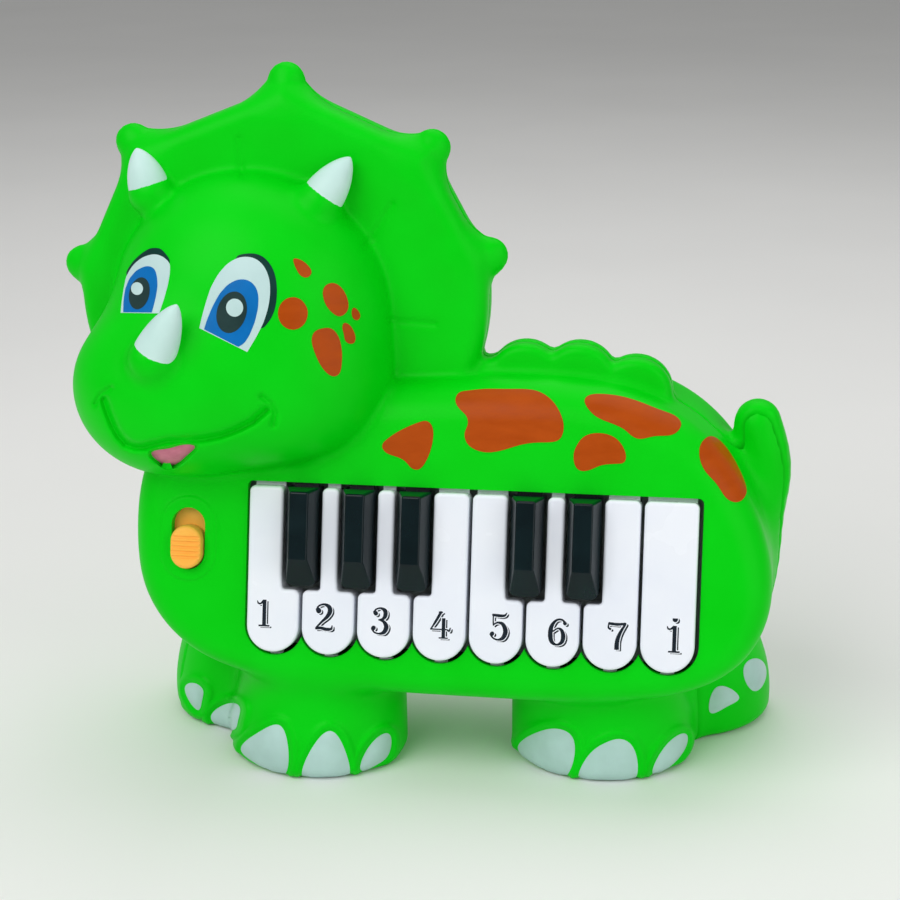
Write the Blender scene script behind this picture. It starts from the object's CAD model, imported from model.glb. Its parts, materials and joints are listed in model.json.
"""Looks of the toy piano: a moulded horned dinosaur whose leaning flank carries a small keyboard.
Tables are millimetres in the maker's layout, with the parting plane at y = 0 and the floor at z = 0, or
places on the photograph's 900 by 900 frame; seat() carries the layout to the part's own frame in metres."""
import bmesh
import bpy
import json
import math
import numpy as np
from mathutils import Matrix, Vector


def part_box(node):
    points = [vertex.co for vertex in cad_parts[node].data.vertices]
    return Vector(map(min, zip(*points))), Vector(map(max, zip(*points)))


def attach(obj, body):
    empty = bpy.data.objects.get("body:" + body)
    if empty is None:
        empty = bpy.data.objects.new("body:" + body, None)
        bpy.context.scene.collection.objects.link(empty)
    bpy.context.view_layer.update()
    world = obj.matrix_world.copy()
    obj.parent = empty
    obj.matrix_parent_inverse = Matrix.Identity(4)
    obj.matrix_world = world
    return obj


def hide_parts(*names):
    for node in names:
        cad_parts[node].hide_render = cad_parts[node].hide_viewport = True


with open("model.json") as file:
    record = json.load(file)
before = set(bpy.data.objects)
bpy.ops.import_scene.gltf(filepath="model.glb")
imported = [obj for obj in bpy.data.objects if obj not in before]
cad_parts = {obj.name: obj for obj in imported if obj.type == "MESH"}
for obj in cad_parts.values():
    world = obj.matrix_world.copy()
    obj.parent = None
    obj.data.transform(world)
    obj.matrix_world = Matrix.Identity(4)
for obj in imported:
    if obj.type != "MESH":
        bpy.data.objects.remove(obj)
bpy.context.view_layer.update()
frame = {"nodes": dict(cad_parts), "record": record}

# Moulded form
WALL = 2.4
REAR = 28.0
EDGE_ROUND = 9.0
BACK_ROUND = 14.0
TORSO_ORIGIN = np.array([-78.5, 26.0])
TORSO_SIZE = np.array([175.5, 84.0])
TORSO_SHARES = (
    (0.000, 0.470), (0.026, 0.759), (0.162, 0.928), (0.419, 0.982), (0.664, 1.000), (0.835, 0.922),
    (0.943, 0.723), (1.000, 0.398), (0.966, 0.169), (0.846, 0.036), (0.527, 0.000), (0.231, 0.024),
    (0.088, 0.120), (0.020, 0.277))
DECK_PLACE = np.array([16.5, -31.0, 62.0])
DECK_TILT = math.radians(15)
FRILL_PLACE = np.array([-39.0, 0.0, 130.0])
FRILL_RADIUS = 57.0
FRILL_HALF = 8.0
FRILL_ROUND = 4.5
SPIKE_ANGLES = (11.5, 44.4, 87.8, 135.0, 173.3)
SPIKE_START = 49.2
SPIKE_LENGTH = 9.0
SPIKE_RADII = (10.6, 5.0)
SPIKE_FLATNESS = 0.72
SPIKE_BLEND = 5.0
HEAD_BALLS = (((-46.5, -8.0, 126.0), (38.5, 30.0, 39.0)),
              ((-42.0, -13.0, 107.5), (33.0, 25.0, 23.0)),
              ((-65.0, -24.0, 109.0), (27.5, 24.0, 24.5)))
HEAD_BLEND = 10.0
HORN_MOUND = 6.2
HORN_MOUND_DROP = 1.2
HORN_BLEND = 3.0
HORN_SINK = 2.0
HORN_RADIUS = 5.7
HORN_POWERS = (1.8, 0.7)
HORN_CORE = (4.4, 0.8)
# foot and tip of every horn on the photograph, the tip's lean away from the camera and the foot's stand off
# the head
HORNS = (((150.2, 189.5), (136.5, 148.0), -2.5, 2.0), ((321.5, 198.5), (350.5, 157.0), -2.5, 2.0),
         ((153.0, 356.0), (177.0, 304.5), -6.0, 0.3))
LEG_HEIGHTS = np.array([0.0, 12.0, 29.5, 47.0])
# middle, radii and turn of every foot, then depth and radius of its hip
LEGS = ((-29.5, -15.5, 25.0, 22.5, 0.0, -12.0, 17.0), (50.5, -6.5, 25.5, 22.5, 0.0, -12.0, 17.0),
        (-58.0, 15.0, 21.5, 25.0, 0.0, 7.0, 14.0), (77.5, 21.0, 22.0, 18.0, 45.0, 7.0, 14.0))
HIP_NARROWING = 0.8
SOLE_ROUND = 3.4
LEG_BLEND = 9.0
TAIL_Y = 4.0
# x, z and radius along the tail
TAIL_ROWS = ((83.75, 48.0, 13.0), (91.05, 69.6, 8.53), (93.87, 86.5, 6.8), (91.53, 96.1, 6.3))
TAIL_STEPS = 14
TAIL_CURVE = 60
TAIL_BLEND = 6.0
RIDGE_BUMPS = ((16.7, 103.3), (28.04, 107.98), (42.89, 108.2), (58.28, 104.65))
RIDGE_RADIUS = 10.0
RIDGE_HALF = 5.0
RIDGE_ROUND = 2.2
CREASE_BLEND = 2.4
NET_STEP = 1.2
HOLLOW_STEP = 2.8
# cells of the two grids: each way along x, past and behind the parting plane, under the floor and up
NET_CELLS = (89, 3, 53, 3, 165)
HOLLOW_CELLS = (38, 3, 22, 2, 70)
TABLE_STEP = 0.75
TABLE_LOW = np.array([-112.0, -8.0])
TABLE_COUNT = (300, 284)

# Camera of the photograph
PHOTO_SIDE = 900
FOCAL = 2016.0
SENSOR = 36.0
EYE_AZIMUTH = math.radians(9)
EYE_ELEVATION = math.radians(18)
EYE_ROLL = math.radians(-0.6)
EYE_DISTANCE = 560.0
EYE_TARGET = np.array([7.3115, -5.0, 87.3748])
NEAREST = EYE_DISTANCE - 150.0

# Keyboard, in the deck's own plane
KEY_COUNT = 8
KEY_PITCH = 15.3
KEY_WIDTH = 14.3
KEY_ROW_LEFT = -60.7
KEY_TOP = 20.8
KEY_LENGTH = 45.3
KEY_RISE = 2.5
WINDOW_GAP = 1.1
WINDOW_CORNER = 1.4
SWITCH_PLACE = (-78.2, 5.3)
SWITCH_SLOT = (9.4, 17.0)
DECK_CUT = (-8.0, 7.0)

cover_low, cover_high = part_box("battery_cover")
COVER_MIDDLE = 30.0
LAYOUT_SHIFT = np.array([(cover_low.x + cover_high.x) * 500 - COVER_MIDDLE, cover_high.y * 1000 - REAR, 0.0])


def seat(points):
    """Layout millimetres to the part's own frame in metres: add the shift, divide by a thousand."""
    return (np.asarray(points) + LAYOUT_SHIFT) / 1000


def deck_point(u, w, v):
    """Place of deck coordinates: u along the row, w in through the face, v up the face."""
    u, w, v = np.broadcast_arrays(u, w, v)
    c, s = math.cos(DECK_TILT), math.sin(DECK_TILT)
    return DECK_PLACE + np.stack([u + 0.0, w * c + v * s, v * c - w * s], -1)


# Distances

def smooth_min(a, b, width):
    """Smaller of two distances, lowered by a parabola where they differ by less than a width."""
    share = np.maximum(width - np.abs(a - b), 0) / width
    return np.minimum(a, b) - share * share * width / 4


def round_meet(a, b, radius):
    """Larger of two distances with the ridge between them turned to a quarter circle of a radius."""
    corner = np.hypot(np.maximum(a + radius, 0), np.maximum(b + radius, 0))
    return np.minimum(np.maximum(a, b), -radius) + corner


def ball(x, y, z, middle, radii):
    """Distance to a stretched ball: k(k - 1)/g, with k the scaled radius and g its slope."""
    p, q, r = [(c - m) / s for c, m, s in zip((x, y, z), middle, radii)]
    k = np.sqrt(p * p + q * q + r * r)
    g = np.sqrt((p / radii[0]) ** 2 + (q / radii[1]) ** 2 + (r / radii[2]) ** 2) + 1e-9
    return k * (k - 1) / g


def taper(x, y, z, start, end, radii):
    """Distance to a round bar whose radius runs evenly from its start to its end."""
    run = np.subtract(end, start)
    p, q, r = x - start[0], y - start[1], z - start[2]
    t = np.clip((p * run[0] + q * run[1] + r * run[2]) / run.dot(run), 0, 1)
    gap = np.sqrt((p - t * run[0]) ** 2 + (q - t * run[1]) ** 2 + (r - t * run[2]) ** 2)
    return gap - radii[0] - t * (radii[1] - radii[0])


def smooth_loop(points, count):
    """Closed curve through points: cubics in the root of the chord, slope and bend carried round the loop."""
    p = np.asarray(points, float)
    n = len(p)
    gap = np.sqrt(np.linalg.norm(np.roll(p, -1, 0) - p, axis=1))
    before = np.roll(gap, 1)
    rows = np.arange(n)
    m = np.zeros((n, n))
    m[rows, rows] = 2 * (before + gap)
    m[rows, rows - 1] += before
    m[rows, (rows + 1) % n] += gap
    rise = (np.roll(p, -1, 0) - p) / gap[:, None]
    bend = np.linalg.solve(m, 6 * (rise - np.roll(rise, 1, 0)))
    edges = np.concatenate([[0], np.cumsum(gap)])
    at = np.linspace(0, edges[-1], count, endpoint=False)
    k = np.clip(np.searchsorted(edges, at, side="right") - 1, 0, n - 1)
    h = gap[k][:, None]
    b = (at - edges[k])[:, None] / h
    a = 1 - b
    ahead = (k + 1) % n
    return a * p[k] + b * p[ahead] + ((a ** 3 - a) * bend[k] + (b ** 3 - b) * bend[ahead]) * h * h / 6


def loop_distance(px, pz, loop):
    """Signed distance from points to an outline: to its nearest edge, and negative inside, where a ray
    crosses the outline an odd number of times."""
    a = np.asarray(loop, float)
    b = np.roll(a, -1, 0)
    e = b - a
    dx, dz = px[..., None] - a[:, 0], pz[..., None] - a[:, 1]
    t = np.clip((dx * e[:, 0] + dz * e[:, 1]) / (e ** 2).sum(1), 0, 1)
    near = np.sqrt(((dx - t * e[:, 0]) ** 2 + (dz - t * e[:, 1]) ** 2).min(-1))
    rise = np.where(e[:, 1] == 0, 1e-12, e[:, 1])
    spans = (dz >= 0) != (pz[..., None] - b[:, 1] >= 0)
    inside = (spans & (dx < dz / rise * e[:, 0])).sum(-1) % 2 == 1
    return np.where(inside, -near, near)


def distance_table(loop):
    """Signed distance to an outline on an even grid, row by row over the outline's plane."""
    xs, zs = [low + TABLE_STEP * np.arange(n) for low, n in zip(TABLE_LOW, TABLE_COUNT)]
    return np.stack([loop_distance(np.full(len(zs), x), zs, loop) for x in xs])


def read_table(table, x, z):
    """Value of a table between its grid points, weighted by nearness along both sides."""
    u = np.clip((x - TABLE_LOW[0]) / TABLE_STEP, 0, TABLE_COUNT[0] - 1.001)
    v = np.clip((z - TABLE_LOW[1]) / TABLE_STEP, 0, TABLE_COUNT[1] - 1.001)
    i, j = u.astype(int), v.astype(int)
    a, b = u - i, v - j
    low = table[i, j] * (1 - b) + table[i, j + 1] * b
    high = table[i + 1, j] * (1 - b) + table[i + 1, j + 1] * b
    return low * (1 - a) + high * a


def frill_outline():
    """Straight runs between the spikes and a round arc below, anticlockwise."""
    low = np.linspace(SPIKE_ANGLES[-1], SPIKE_ANGLES[0] + 360, 60)
    turn = np.radians(np.concatenate([SPIKE_ANGLES[:-1], low[:-1]]))
    return FRILL_PLACE[[0, 2]] + FRILL_RADIUS * np.stack([np.cos(turn), np.sin(turn)], 1)


def tail_rows():
    """Even rows along the tail: half of a closed curve that runs up through its rows and back down."""
    there = smooth_loop(TAIL_ROWS + TAIL_ROWS[2:0:-1], 2 * TAIL_CURVE - 2)[:TAIL_CURVE]
    at = np.linspace(0, TAIL_CURVE - 1, TAIL_STEPS)
    return np.stack([np.interp(at, np.arange(TAIL_CURVE), column) for column in there.T], 1)


TAIL = tail_rows()
TORSO_TABLE = distance_table(smooth_loop(TORSO_ORIGIN + np.array(TORSO_SHARES) * TORSO_SIZE, 150))
FRILL_TABLE = distance_table(frill_outline())


def torso_form(x, y, z):
    """Outline run through the depth, meeting the leaning deck and the flat back in round edges."""
    deck = (z - DECK_PLACE[2]) * math.sin(DECK_TILT) - (y - DECK_PLACE[1]) * math.cos(DECK_TILT)
    body = round_meet(read_table(TORSO_TABLE, x, z), deck, EDGE_ROUND)
    return round_meet(body, y - REAR, BACK_ROUND)


def leg_form(x, y, z, row):
    """Ellipse whose middle, radii and turn are cubics in the height, rounded under the sole."""
    fx, fy, rx, ry, yaw, hip_y, hip_ry = row
    middle = TORSO_ORIGIN[0] + TORSO_SIZE[0] / 2
    hip_x = fx + (middle - fx) * (1 - HIP_NARROWING) / 2
    hip = (hip_x, hip_y, rx * HIP_NARROWING, hip_ry, 0.0)
    foot = (fx, fy, rx, ry, math.radians(yaw))
    half = [(a + b) / 2 for a, b in zip(foot, hip)]
    level = np.clip(z, 0, LEG_HEIGHTS[-1])
    cx, cy, p, q, turn = [np.polyval(np.polyfit(LEG_HEIGHTS, (f, f, m, h), 3), level)
                          for f, m, h in zip(foot, half, hip)]
    dx, dy = x - cx, y - cy
    u = dx * np.cos(turn) + dy * np.sin(turn)
    v = dy * np.cos(turn) - dx * np.sin(turn)
    k = np.hypot(u / p, v / q)
    side = k * (k - 1) / (np.hypot(u / p ** 2, v / q ** 2) + 1e-9)
    return np.maximum(round_meet(side, -z, SOLE_ROUND), z - LEG_HEIGHTS[-1] - SOLE_ROUND)


def frill_form(x, y, z, proud):
    """Flat plate with round rims and, if its proud parts are wanted, a blunt flat taper on every corner."""
    plate = round_meet(read_table(FRILL_TABLE, x, z), np.abs(y) - FRILL_HALF, FRILL_ROUND)
    for angle in np.radians(SPIKE_ANGLES if proud else ()):
        way = np.array([math.cos(angle), 0, math.sin(angle)])
        root = FRILL_PLACE + SPIKE_START * way
        spike = taper(x, y / SPIKE_FLATNESS, z, root, root + SPIKE_LENGTH * way, SPIKE_RADII)
        plate = smooth_min(plate, spike, SPIKE_BLEND)
    return plate


def head_form(x, y, z, proud):
    """Three stretched balls blended into one and, if its proud parts are wanted, a mound and a core for
    every horn."""
    head = ball(x, y, z, *HEAD_BALLS[0])
    for row in HEAD_BALLS[1:]:
        head = smooth_min(head, ball(x, y, z, *row), HEAD_BLEND)
    for foot, tip, aim in HORN_ROWS if proud else ():
        mx, my, mz = foot - HORN_MOUND_DROP * aim
        mound = np.sqrt((x - mx) ** 2 + (y - my) ** 2 + (z - mz) ** 2) - HORN_MOUND
        head = smooth_min(head, mound, HORN_BLEND)
        head = np.minimum(head, taper(x, y, z, foot, tip - aim, HORN_CORE))
    return head


def moulded_form(x, y, z, proud=True):
    """Outside of the whole toy: torso and legs blended and cut off flat at the floor, then the tail, the
    crest, the frill and the head; the hollow inside is made without the solid crest, spikes and horns."""
    form = torso_form(x, y, z)
    for row in LEGS:
        form = smooth_min(form, leg_form(x, y, z, row), LEG_BLEND)
    form = np.maximum(form, -z)
    tail = np.inf
    for (ax, az, ar), (bx, bz, br) in zip(TAIL, TAIL[1:]):
        tail = np.minimum(tail, taper(x, y, z, (ax, TAIL_Y, az), (bx, TAIL_Y, bz), (ar, br)))
    form = smooth_min(form, tail, TAIL_BLEND)
    if proud:
        crest = np.hypot(x - RIDGE_BUMPS[0][0], z - RIDGE_BUMPS[0][1]) - RIDGE_RADIUS
        for bx, bz in RIDGE_BUMPS[1:]:
            crest = smooth_min(crest, np.hypot(x - bx, z - bz) - RIDGE_RADIUS, CREASE_BLEND)
        form = smooth_min(form, round_meet(crest, np.abs(y) - RIDGE_HALF, RIDGE_ROUND), CREASE_BLEND)
    form = smooth_min(form, frill_form(x, y, z, proud), CREASE_BLEND)
    return smooth_min(form, head_form(x, y, z, proud), CREASE_BLEND)


# The photograph's camera, used to place painted and carved lines on the form

def camera_axes():
    """Place, right, up and forward of the camera: azimuth and elevation about the target, then the roll."""
    a, e, r = EYE_AZIMUTH, EYE_ELEVATION, EYE_ROLL
    back = np.array([math.sin(a) * math.cos(e), -math.cos(a) * math.cos(e), math.sin(e)])
    right = np.array([math.cos(a), math.sin(a), 0.0])
    up = np.cross(back, right)
    return (EYE_TARGET + EYE_DISTANCE * back, right * math.cos(r) + up * math.sin(r),
            up * math.cos(r) - right * math.sin(r), -back)


EYE, RIGHT, UP, AHEAD = camera_axes()


def on_photo(points):
    """Places on the photograph of layout points: focal length times sideways over forward."""
    p = points - EYE
    depth = p @ AHEAD
    return np.stack([PHOTO_SIDE / 2 + FOCAL * (p @ RIGHT) / depth,
                     PHOTO_SIDE / 2 - FOCAL * (p @ UP) / depth], -1)


def sight_lines(spots):
    """Unit directions from the camera through places on the photograph."""
    s = (np.asarray(spots, float) - PHOTO_SIDE / 2) / FOCAL
    way = AHEAD + s[..., :1] * RIGHT - s[..., 1:] * UP
    return way / np.linalg.norm(way, axis=-1, keepdims=True)


MOUTH_LINE = ((103.7, 399.6), (107.9, 412.3), (113.5, 426.3), (119.1, 436.1), (126.1, 443.8), (134.5, 447.1),
              (144.4, 447.1), (154.2, 444.3), (168.2, 441.0), (186.5, 440.1), (204.7, 438.9), (221.5, 435.4),
              (238.4, 429.1), (252.4, 422.1), (266.4, 410.2))
LEFT_DIMPLE = ((96.0, 403.9), (100.2, 395.4), (110.7, 388.4))
RIGHT_DIMPLE = ((262.2, 396.8), (270.6, 403.9), (275.6, 413.7), (273.5, 424.9))
FRILL_FOLDS = (((239, 139), (242, 175)), ((392, 205), (366, 247)), ((434, 324), (389, 320)))
MOUTH_PINK = ((151.4, 453.0), (159.8, 449.5), (169.6, 448.1), (185.1, 444.5), (194.9, 446.6), (187.9, 454.4),
              (178.0, 462.8), (168.2, 465.6), (159.8, 462.1))
# line, depth and half width in millimetres
CARVED_LINES = ((MOUTH_LINE, 1.75, 1.0), (LEFT_DIMPLE, 0.9, 0.8), (RIGHT_DIMPLE, 0.9, 0.8),
                (FRILL_FOLDS[0], 0.5, 1.0), (FRILL_FOLDS[1], 0.5, 1.0), (FRILL_FOLDS[2], 0.5, 1.0))
# outline of every nail on the photograph, with the number of its leg
NAILS = (
    (2, ((185, 688), (194, 683), (203, 690), (202, 701), (198, 710))),
    (2, ((211, 718), (231, 703), (240, 708), (238, 721), (233, 730))),
    (0, ((241, 749), (259, 732), (279, 725), (288, 746), (284, 775), (262, 767))),
    (0, ((303, 778), (312, 748), (331, 731), (346, 753), (348, 778), (326, 780))),
    (0, ((361, 770), (371, 744), (389, 734), (389, 753), (376, 765))),
    (1, ((518, 747), (538, 732), (559, 729), (574, 741), (564, 778), (538, 768))),
    (1, ((579, 781), (588, 756), (605, 743), (620, 739), (634, 749), (634, 781), (606, 782))),
    (1, ((653, 774), (668, 743), (686, 734), (687, 743), (681, 755), (668, 768))),
    (3, ((711, 713), (710, 699), (721, 686), (739, 697), (728, 706))),
    (3, ((744, 667), (759, 659), (766, 676), (754, 691))))
NAIL_RIDGE = 0.8
NAIL_RIDGE_OUT = 1.5
NAIL_RIDGE_HALF = 1.0
SWITCH_LIP = 2.6
SWITCH_LIP_RISE = 0.45
MOUTH_DEPTH = 1.5
MOUTH_LIP = 1.1
SPOTS_PER_MM = 3.85
# where the carvings can be: the face's depth and height, the nails' height and the room around their foot,
# and the far, deep, low and high limits of the switch
FACE_ZONE = (-2.0, 60.0)
NAIL_ZONE = (32.0, 3.0)
SWITCH_ZONE = (-45.0, -20.0, 48.0, 86.0)


def line_distance(spots, line):
    """Distance from places on the photograph to an open line of straight runs."""
    a, b = np.asarray(line[:-1], float), np.asarray(line[1:], float)
    e = b - a
    d = spots[:, None] - a
    t = np.clip((d * e).sum(-1) / (e ** 2).sum(-1), 0, 1)
    return np.linalg.norm(d - t[..., None] * e, axis=-1).min(-1)


def carving(points):
    """Depth of the moulded lines at points, negative where raised: a bell across every line, a soft-edged pit
    for the mouth, a bell-shaped ridge a little outside every nail and a lip around the switch's slot."""
    depth = np.zeros(len(points))
    x, y, z = points.T
    face = (y < FACE_ZONE[0]) & (z > FACE_ZONE[1])
    spots = on_photo(points[face])
    total = np.zeros(len(spots))
    for line, deep, half in CARVED_LINES:
        total = np.maximum(total, deep * np.exp(-(line_distance(spots, line) / SPOTS_PER_MM / half) ** 2))
    inside = -loop_distance(spots[:, 0], spots[:, 1], smooth_loop(MOUTH_PINK, 60)) / SPOTS_PER_MM
    pit = np.clip((inside + MOUTH_LIP) / MOUTH_LIP, 0, 1)
    depth[face] = np.maximum(total, MOUTH_DEPTH * pit * pit * (3 - 2 * pit))
    for leg, loop in NAILS:
        fx, fy, rx = LEGS[leg][:3]
        foot = (z < NAIL_ZONE[0]) & (y < fy) & (np.abs(x - fx) < rx + NAIL_ZONE[1])
        spots = on_photo(points[foot])
        out = loop_distance(spots[:, 0], spots[:, 1], smooth_loop(loop, 40)) / SPOTS_PER_MM
        ridge = NAIL_RIDGE * np.exp(-((out - NAIL_RIDGE_OUT) / NAIL_RIDGE_HALF) ** 2)
        depth[foot] = np.minimum(depth[foot], -ridge)
    far, deep, low, high = SWITCH_ZONE
    by_slot = (x < far) & (y < deep) & (z > low) & (z < high)
    p = points[by_slot] - DECK_PLACE
    u = p[:, 0] - SWITCH_PLACE[0]
    v = p[:, 1] * math.sin(DECK_TILT) + p[:, 2] * math.cos(DECK_TILT) - SWITCH_PLACE[1]
    v = np.maximum(np.abs(v) - (SWITCH_SLOT[1] - SWITCH_SLOT[0]) / 2, 0)
    rim = np.clip(1 + SWITCH_LIP - (np.hypot(u, v) - SWITCH_SLOT[0] / 2), 0, 1)
    depth[by_slot] -= SWITCH_LIP_RISE * rim * rim * (3 - 2 * rim)
    return depth


def carved_form(x, y, z):
    """Moulded form lowered by the carving, at loose points, and cut off flat at the floor."""
    return np.maximum(moulded_form(x, y, z) + carving(np.stack([x, y, z], -1)), -z)


SLOPE_STEP = 0.04
STRIKE_STEPS = 60
STRIDE = 0.85
STRIKE_MISS = 0.05
# least slope of the form along a sight line, least carving that moves a point, and the strip at the parting
# plane whose points stay
LEAST_FALL = -0.45
LEAST_CARVING = 0.002
SEAM_KEEP = 0.5


def slopes(points, form):
    """Unit direction in which a distance grows fastest, from small steps along the three axes."""
    here = form(*points.T)
    rise = np.stack([form(*(points + SLOPE_STEP * axis).T) - here for axis in np.eye(3)], -1)
    return rise / np.linalg.norm(rise, axis=-1, keepdims=True), here


def settle(points, form, rounds=3):
    """Slide points onto the zero of a distance: step back by its value along its slope."""
    for _ in range(rounds):
        way, here = slopes(points, form)
        points = points - way * here[:, None]
    return points


def strike(start, ways, form, near):
    """First place where sight lines meet a form: walk on by a share of the distance left; a line that misses
    is brought to the form from where it passed closest, so an outline ends at the form's own edge."""
    run = np.full(len(ways), near)
    best, least = run, np.full(len(ways), np.inf)
    for _ in range(STRIKE_STEPS):
        here = form(*(start + ways * run[:, None]).T)
        best = np.where(here < least, run, best)
        least = np.minimum(here, least)
        run = run + STRIDE * here
    points = start + ways * best[:, None]
    missed = least > STRIKE_MISS
    points[missed] = settle(points[missed], form)
    return points


def bare_form(x, y, z):
    """Moulded form without its crest, spikes and horns."""
    return moulded_form(x, y, z, False)


def sink(points, rounds=4):
    """Slide points that face the camera along their own sight lines onto the carved form, by its value over
    the form's slope on the line; the others settle.  The carving is even along a sight line, so neighbours
    never cross, however steep a groove is."""
    done = settle(points, carved_form)
    lines = (points - EYE) / np.linalg.norm(points - EYE, axis=-1, keepdims=True)
    way, _ = slopes(points, moulded_form)
    facing = (way * lines).sum(-1) < LEAST_FALL
    moved, lines = points[facing], lines[facing]
    for _ in range(rounds):
        way, _ = slopes(moved, moulded_form)
        fall = np.minimum((way * lines).sum(-1), LEAST_FALL)
        moved = moved - lines * (carved_form(*moved.T) / fall)[:, None]
    done[facing] = moved
    return done


def horn_rows():
    """Foot, tip and direction of every horn: the sight line through the foot stops short of the bare form by
    the stand, and the tip lies on its own sight line, as far off as the foot and the lean together."""
    rows = []
    for base, top, lean, stand in HORNS:
        ways = sight_lines([base, top])
        foot = strike(EYE, ways[:1], bare_form, NEAREST)[0] - stand * ways[0]
        tip = EYE + ways[1] * ((foot - EYE) @ AHEAD + lean) / (ways[1] @ AHEAD)
        rows.append((foot, tip, (tip - foot) / np.linalg.norm(tip - foot)))
    return rows


HORN_ROWS = horn_rows()


# Meshes

CELL_CORNERS = np.array([(i, j, k) for i in (0, 1) for j in (0, 1) for k in (0, 1)])
CELL_EDGES = [(a, b) for a in range(8) for b in range(a + 1, 8)
              if np.abs(CELL_CORNERS[a] - CELL_CORNERS[b]).sum() == 1]


def fill_saddles(field):
    """Grid squares whose corners change sign all round are made solid, so that every edge has two faces."""
    left = True
    while left:
        left = False
        for turn in range(3):
            view = np.moveaxis(field, turn, 0)
            ins = view < 0
            a, b, c, d = ins[:, :-1, :-1], ins[:, 1:, :-1], ins[:, 1:, 1:], ins[:, :-1, 1:]
            odd = np.argwhere((a == c) & (b == d) & (a != b))
            left |= len(odd) > 0
            for corner in ((0, 0, 0), (0, 1, 0), (0, 1, 1), (0, 0, 1)):
                spot = tuple((odd + corner).T)
                view[spot] = np.minimum(view[spot], -0.02)
    return field


def surface_net(field, axes):
    """Skin of the region where a grid of values is negative: in every cell that it crosses one point, at the
    mean of the crossings on the cell's edges, and a face across every grid edge that changes sign, cut in two
    along its shorter diagonal."""
    inside = fill_saddles(field) < 0
    span = [slice(None, -1), slice(1, None)]
    count = sum(inside[span[i], span[j], span[k]].astype(np.int8) for i, j, k in CELL_CORNERS)
    cells = np.argwhere((count > 0) & (count < 8))
    index = np.full(count.shape, -1)
    index[tuple(cells.T)] = np.arange(len(cells))
    total, hits = np.zeros((len(cells), 3)), np.zeros((len(cells), 1))
    for a, b in CELL_EDGES:
        ends = [cells + CELL_CORNERS[c] for c in (a, b)]
        fa, fb = [field[tuple(e.T)] for e in ends]
        pa, pb = [np.stack([axis[i] for axis, i in zip(axes, e.T)], 1) for e in ends]
        cross = (fa < 0) != (fb < 0)
        t = np.where(cross, fa / np.where(cross, fa - fb, 1), 0)
        total += cross[:, None] * (pa + t[:, None] * (pb - pa))
        hits += cross[:, None]
    points = total / hits
    quads = []
    for turn in range(3):
        order = [(turn + n) % 3 for n in range(3)]
        ins, idx = np.transpose(inside, order), np.transpose(index, order)
        low, high = ins[:-1, 1:-1, 1:-1], ins[1:, 1:-1, 1:-1]
        ring = np.stack([idx[:, :-1, :-1], idx[:, 1:, :-1], idx[:, 1:, 1:], idx[:, :-1, 1:]], -1)
        quads += [ring[low & ~high], ring[~low & high][:, ::-1]]
    quads = np.concatenate(quads)
    spread = np.linalg.norm(points[quads[:, :2]] - points[quads[:, 2:]], axis=-1)
    swap = spread[:, 0] > spread[:, 1]
    quads[swap] = np.roll(quads[swap], 1, 1)
    return points, np.concatenate([quads[:, [0, 1, 2]], quads[:, [0, 2, 3]]])


def bare_object(name, points, faces):
    """Object with a mesh of points and faces, in whatever units the points have."""
    mesh = bpy.data.meshes.new(name)
    mesh.from_pydata(np.asarray(points).tolist(), [], [list(f) for f in np.asarray(faces, object).tolist()])
    piece = bpy.data.objects.new(name, mesh)
    bpy.context.scene.collection.objects.link(piece)
    return piece


def dress(piece, material, body, sharp=40.0):
    """Smooth faces with sharp edges past an angle, a material, a body to ride on and a slot."""
    mesh = piece.data
    mesh.polygons.foreach_set("use_smooth", np.ones(len(mesh.polygons), bool))
    mesh.set_sharp_from_angle(angle=math.radians(sharp))
    mesh.materials.clear()
    mesh.materials.append(material)
    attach(piece, body)
    return piece


def prism(outline, carry, low, high):
    """Closed bar over a flat outline: two rings of points, a cap on each and a face along every side."""
    flat = np.asarray(outline, float)
    n = len(flat)
    points = np.concatenate([carry(flat[:, 0], low, flat[:, 1]), carry(flat[:, 0], high, flat[:, 1])])
    here = np.arange(n)
    ahead = (here + 1) % n
    faces = [here.tolist(), (here[::-1] + n).tolist()]
    faces += np.stack([ahead, here, here + n, ahead + n], 1).tolist()
    return points, faces


def upright(u, w, v):
    """Carries an outline in x and z to a depth along y."""
    u, w, v = np.broadcast_arrays(u, w, v)
    return np.stack([u + 0.0, w + 0.0, v + 0.0], -1)


def circle(x, z, radius, sides=48):
    """Round outline."""
    turn = np.linspace(0, 2 * np.pi, sides, endpoint=False)
    return np.stack([x + radius * np.cos(turn), z + radius * np.sin(turn)], 1)


def pill(x, z, width, length, sides=24):
    """Upright slot outline: two half circles joined by straight sides."""
    turn = np.linspace(0, np.pi, sides)
    cap = width / 2 * np.stack([np.cos(turn), np.sin(turn)], 1)
    lift = np.array([0, (length - width) / 2])
    return np.array([x, z]) + np.concatenate([cap + lift, -cap - lift])


def rounded_box(x0, x1, z0, z1, corner, sides=8):
    """Rectangle with a quarter circle on every corner."""
    turn = np.linspace(0, np.pi / 2, sides)
    parts = []
    for n, (x, z) in enumerate(((x1 - corner, z1 - corner), (x0 + corner, z1 - corner),
                                (x0 + corner, z0 + corner), (x1 - corner, z0 + corner))):
        a = turn + n * np.pi / 2
        parts.append(np.stack([x + corner * np.cos(a), z + corner * np.sin(a)], 1))
    return np.concatenate(parts)


def solid(points, faces, name="solid"):
    """Closed object whose doubled points are one and whose faces all look outward."""
    piece = bare_object(name, points, faces)
    bm = bmesh.new()
    bm.from_mesh(piece.data)
    bmesh.ops.remove_doubles(bm, verts=bm.verts, dist=1e-7)
    bmesh.ops.recalc_face_normals(bm, faces=bm.faces)
    bm.to_mesh(piece.data)
    bm.free()
    return piece


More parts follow.
